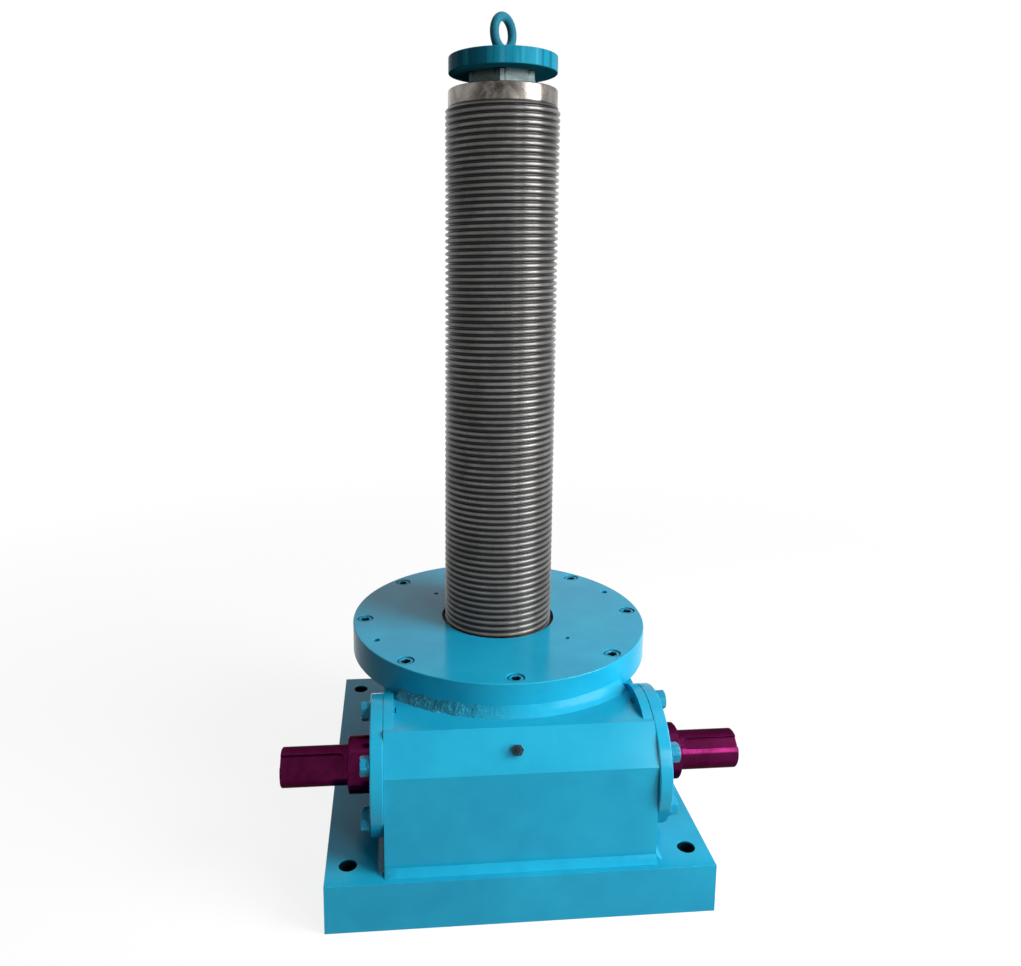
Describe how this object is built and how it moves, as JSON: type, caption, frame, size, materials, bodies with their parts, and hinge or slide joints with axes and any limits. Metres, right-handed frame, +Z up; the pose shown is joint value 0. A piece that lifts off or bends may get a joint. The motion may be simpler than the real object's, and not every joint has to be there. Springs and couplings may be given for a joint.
{
  "type": "worm screw jack",
  "caption": "Worm screw jack: a keyed worm shaft turns a wheel and nut in a welded housing and raises a threaded lifting screw with a top plate and eye bolt.",
  "frame": {"origin": "lifting screw axis at the underside of the base plate", "axes": "+Z up along the lifting screw, +X along the worm shaft, -Y towards the worm box"},
  "size_m": [0.677, 0.59, 1.292],
  "materials": {
    "paint": "gloss",
    "screw_paint": "gloss",
    "steel": "turned",
    "bearing_steel": "ground",
    "bronze": "machined",
    "lacquer": "gloss lacquer",
    "rubber": "matte"
  },
  "bodies": {
    "housing": {"base_plate": "paint", "base_weld": "paint", "gear_drum": "paint", "worm_box": "paint", "ring_weld": "paint", "drum_weld": "paint", "flange_ring": "paint", "top_cover": "paint", "cover_screws": "screw_paint", "guide_bush": "bronze", "wiper_ring": "rubber", "grease_nipple": "steel", "left_end_cover": "paint", "right_end_cover": "paint", "left_cover_bolts": "paint", "right_cover_bolts": "paint", "left_shim": "paint", "right_shim": "paint", "left_oil_seal": "rubber", "right_oil_seal": "rubber", "left_bearing_cup": "bearing_steel", "right_bearing_cup": "bearing_steel", "bearing_seat": "paint", "lower_housing_washer": "bearing_steel", "upper_housing_washer": "bearing_steel"},
    "worm": {"worm_shaft": "lacquer", "worm_thread": "lacquer", "left_bearing_cone": "bearing_steel", "right_bearing_cone": "bearing_steel"},
    "wheel": {"worm_wheel": "bronze", "lifting_nut": "steel", "wheel_keys": "steel", "lower_shaft_washer": "bearing_steel", "upper_shaft_washer": "bearing_steel"},
    "screw": {"lifting_screw": "steel", "stop_ring": "steel", "lock_nut": "steel", "top_plate": "paint", "eye_bolt": "paint"},
    "left_rollers": {"left_bearing_rollers": "bearing_steel"},
    "right_rollers": {"right_bearing_rollers": "bearing_steel"},
    "lower_ball_set": {"lower_balls": "bearing_steel"},
    "upper_ball_set": {"upper_balls": "bearing_steel"}
  },
  "joints": [
    {"name": "worm_turn", "type": "hinge", "parent": "housing", "child": "worm", "pos_m": [0, -0.221, 0.185], "axis": [1, 0, 0], "range_deg": [-864000, 0]},
    {"name": "wheel_turn", "type": "hinge", "parent": "housing", "child": "wheel", "pos_m": [0, 0, 0.185], "axis": [0, 0, 1], "range_deg": [0, 28801]},
    {"name": "screw_travel", "type": "slide", "parent": "housing", "child": "screw", "axis": [0, 0, 1], "range_m": [-0.8001, 0]},
    {"name": "left_roller_turn", "type": "hinge", "parent": "housing", "child": "left_rollers", "pos_m": [-0.17, -0.221, 0.185], "axis": [1, 0, 0], "range_deg": [-362881, 0]},
    {"name": "right_roller_turn", "type": "hinge", "parent": "housing", "child": "right_rollers", "pos_m": [0.17, -0.221, 0.185], "axis": [1, 0, 0], "range_deg": [-362881, 0]},
    {"name": "lower_ball_turn", "type": "hinge", "parent": "housing", "child": "lower_ball_set", "pos_m": [0, 0, 0.1245], "axis": [0, 0, 1], "range_deg": [0, 14401]},
    {"name": "upper_ball_turn", "type": "hinge", "parent": "housing", "child": "upper_ball_set", "pos_m": [0, 0, 0.2455], "axis": [0, 0, 1], "range_deg": [0, 14401]}
  ],
  "couplings": [
    {"joint": "wheel_turn", "follows": "worm_turn", "ratio": -0.033333},
    {"joint": "screw_travel", "follows": "worm_turn", "m_per_rad": 0.000053052},
    {"joint": "left_roller_turn", "follows": "worm_turn", "ratio": 0.42},
    {"joint": "right_roller_turn", "follows": "worm_turn", "ratio": 0.42},
    {"joint": "lower_ball_turn", "follows": "worm_turn", "ratio": -0.016667},
    {"joint": "upper_ball_turn", "follows": "worm_turn", "ratio": -0.016667}
  ]
}
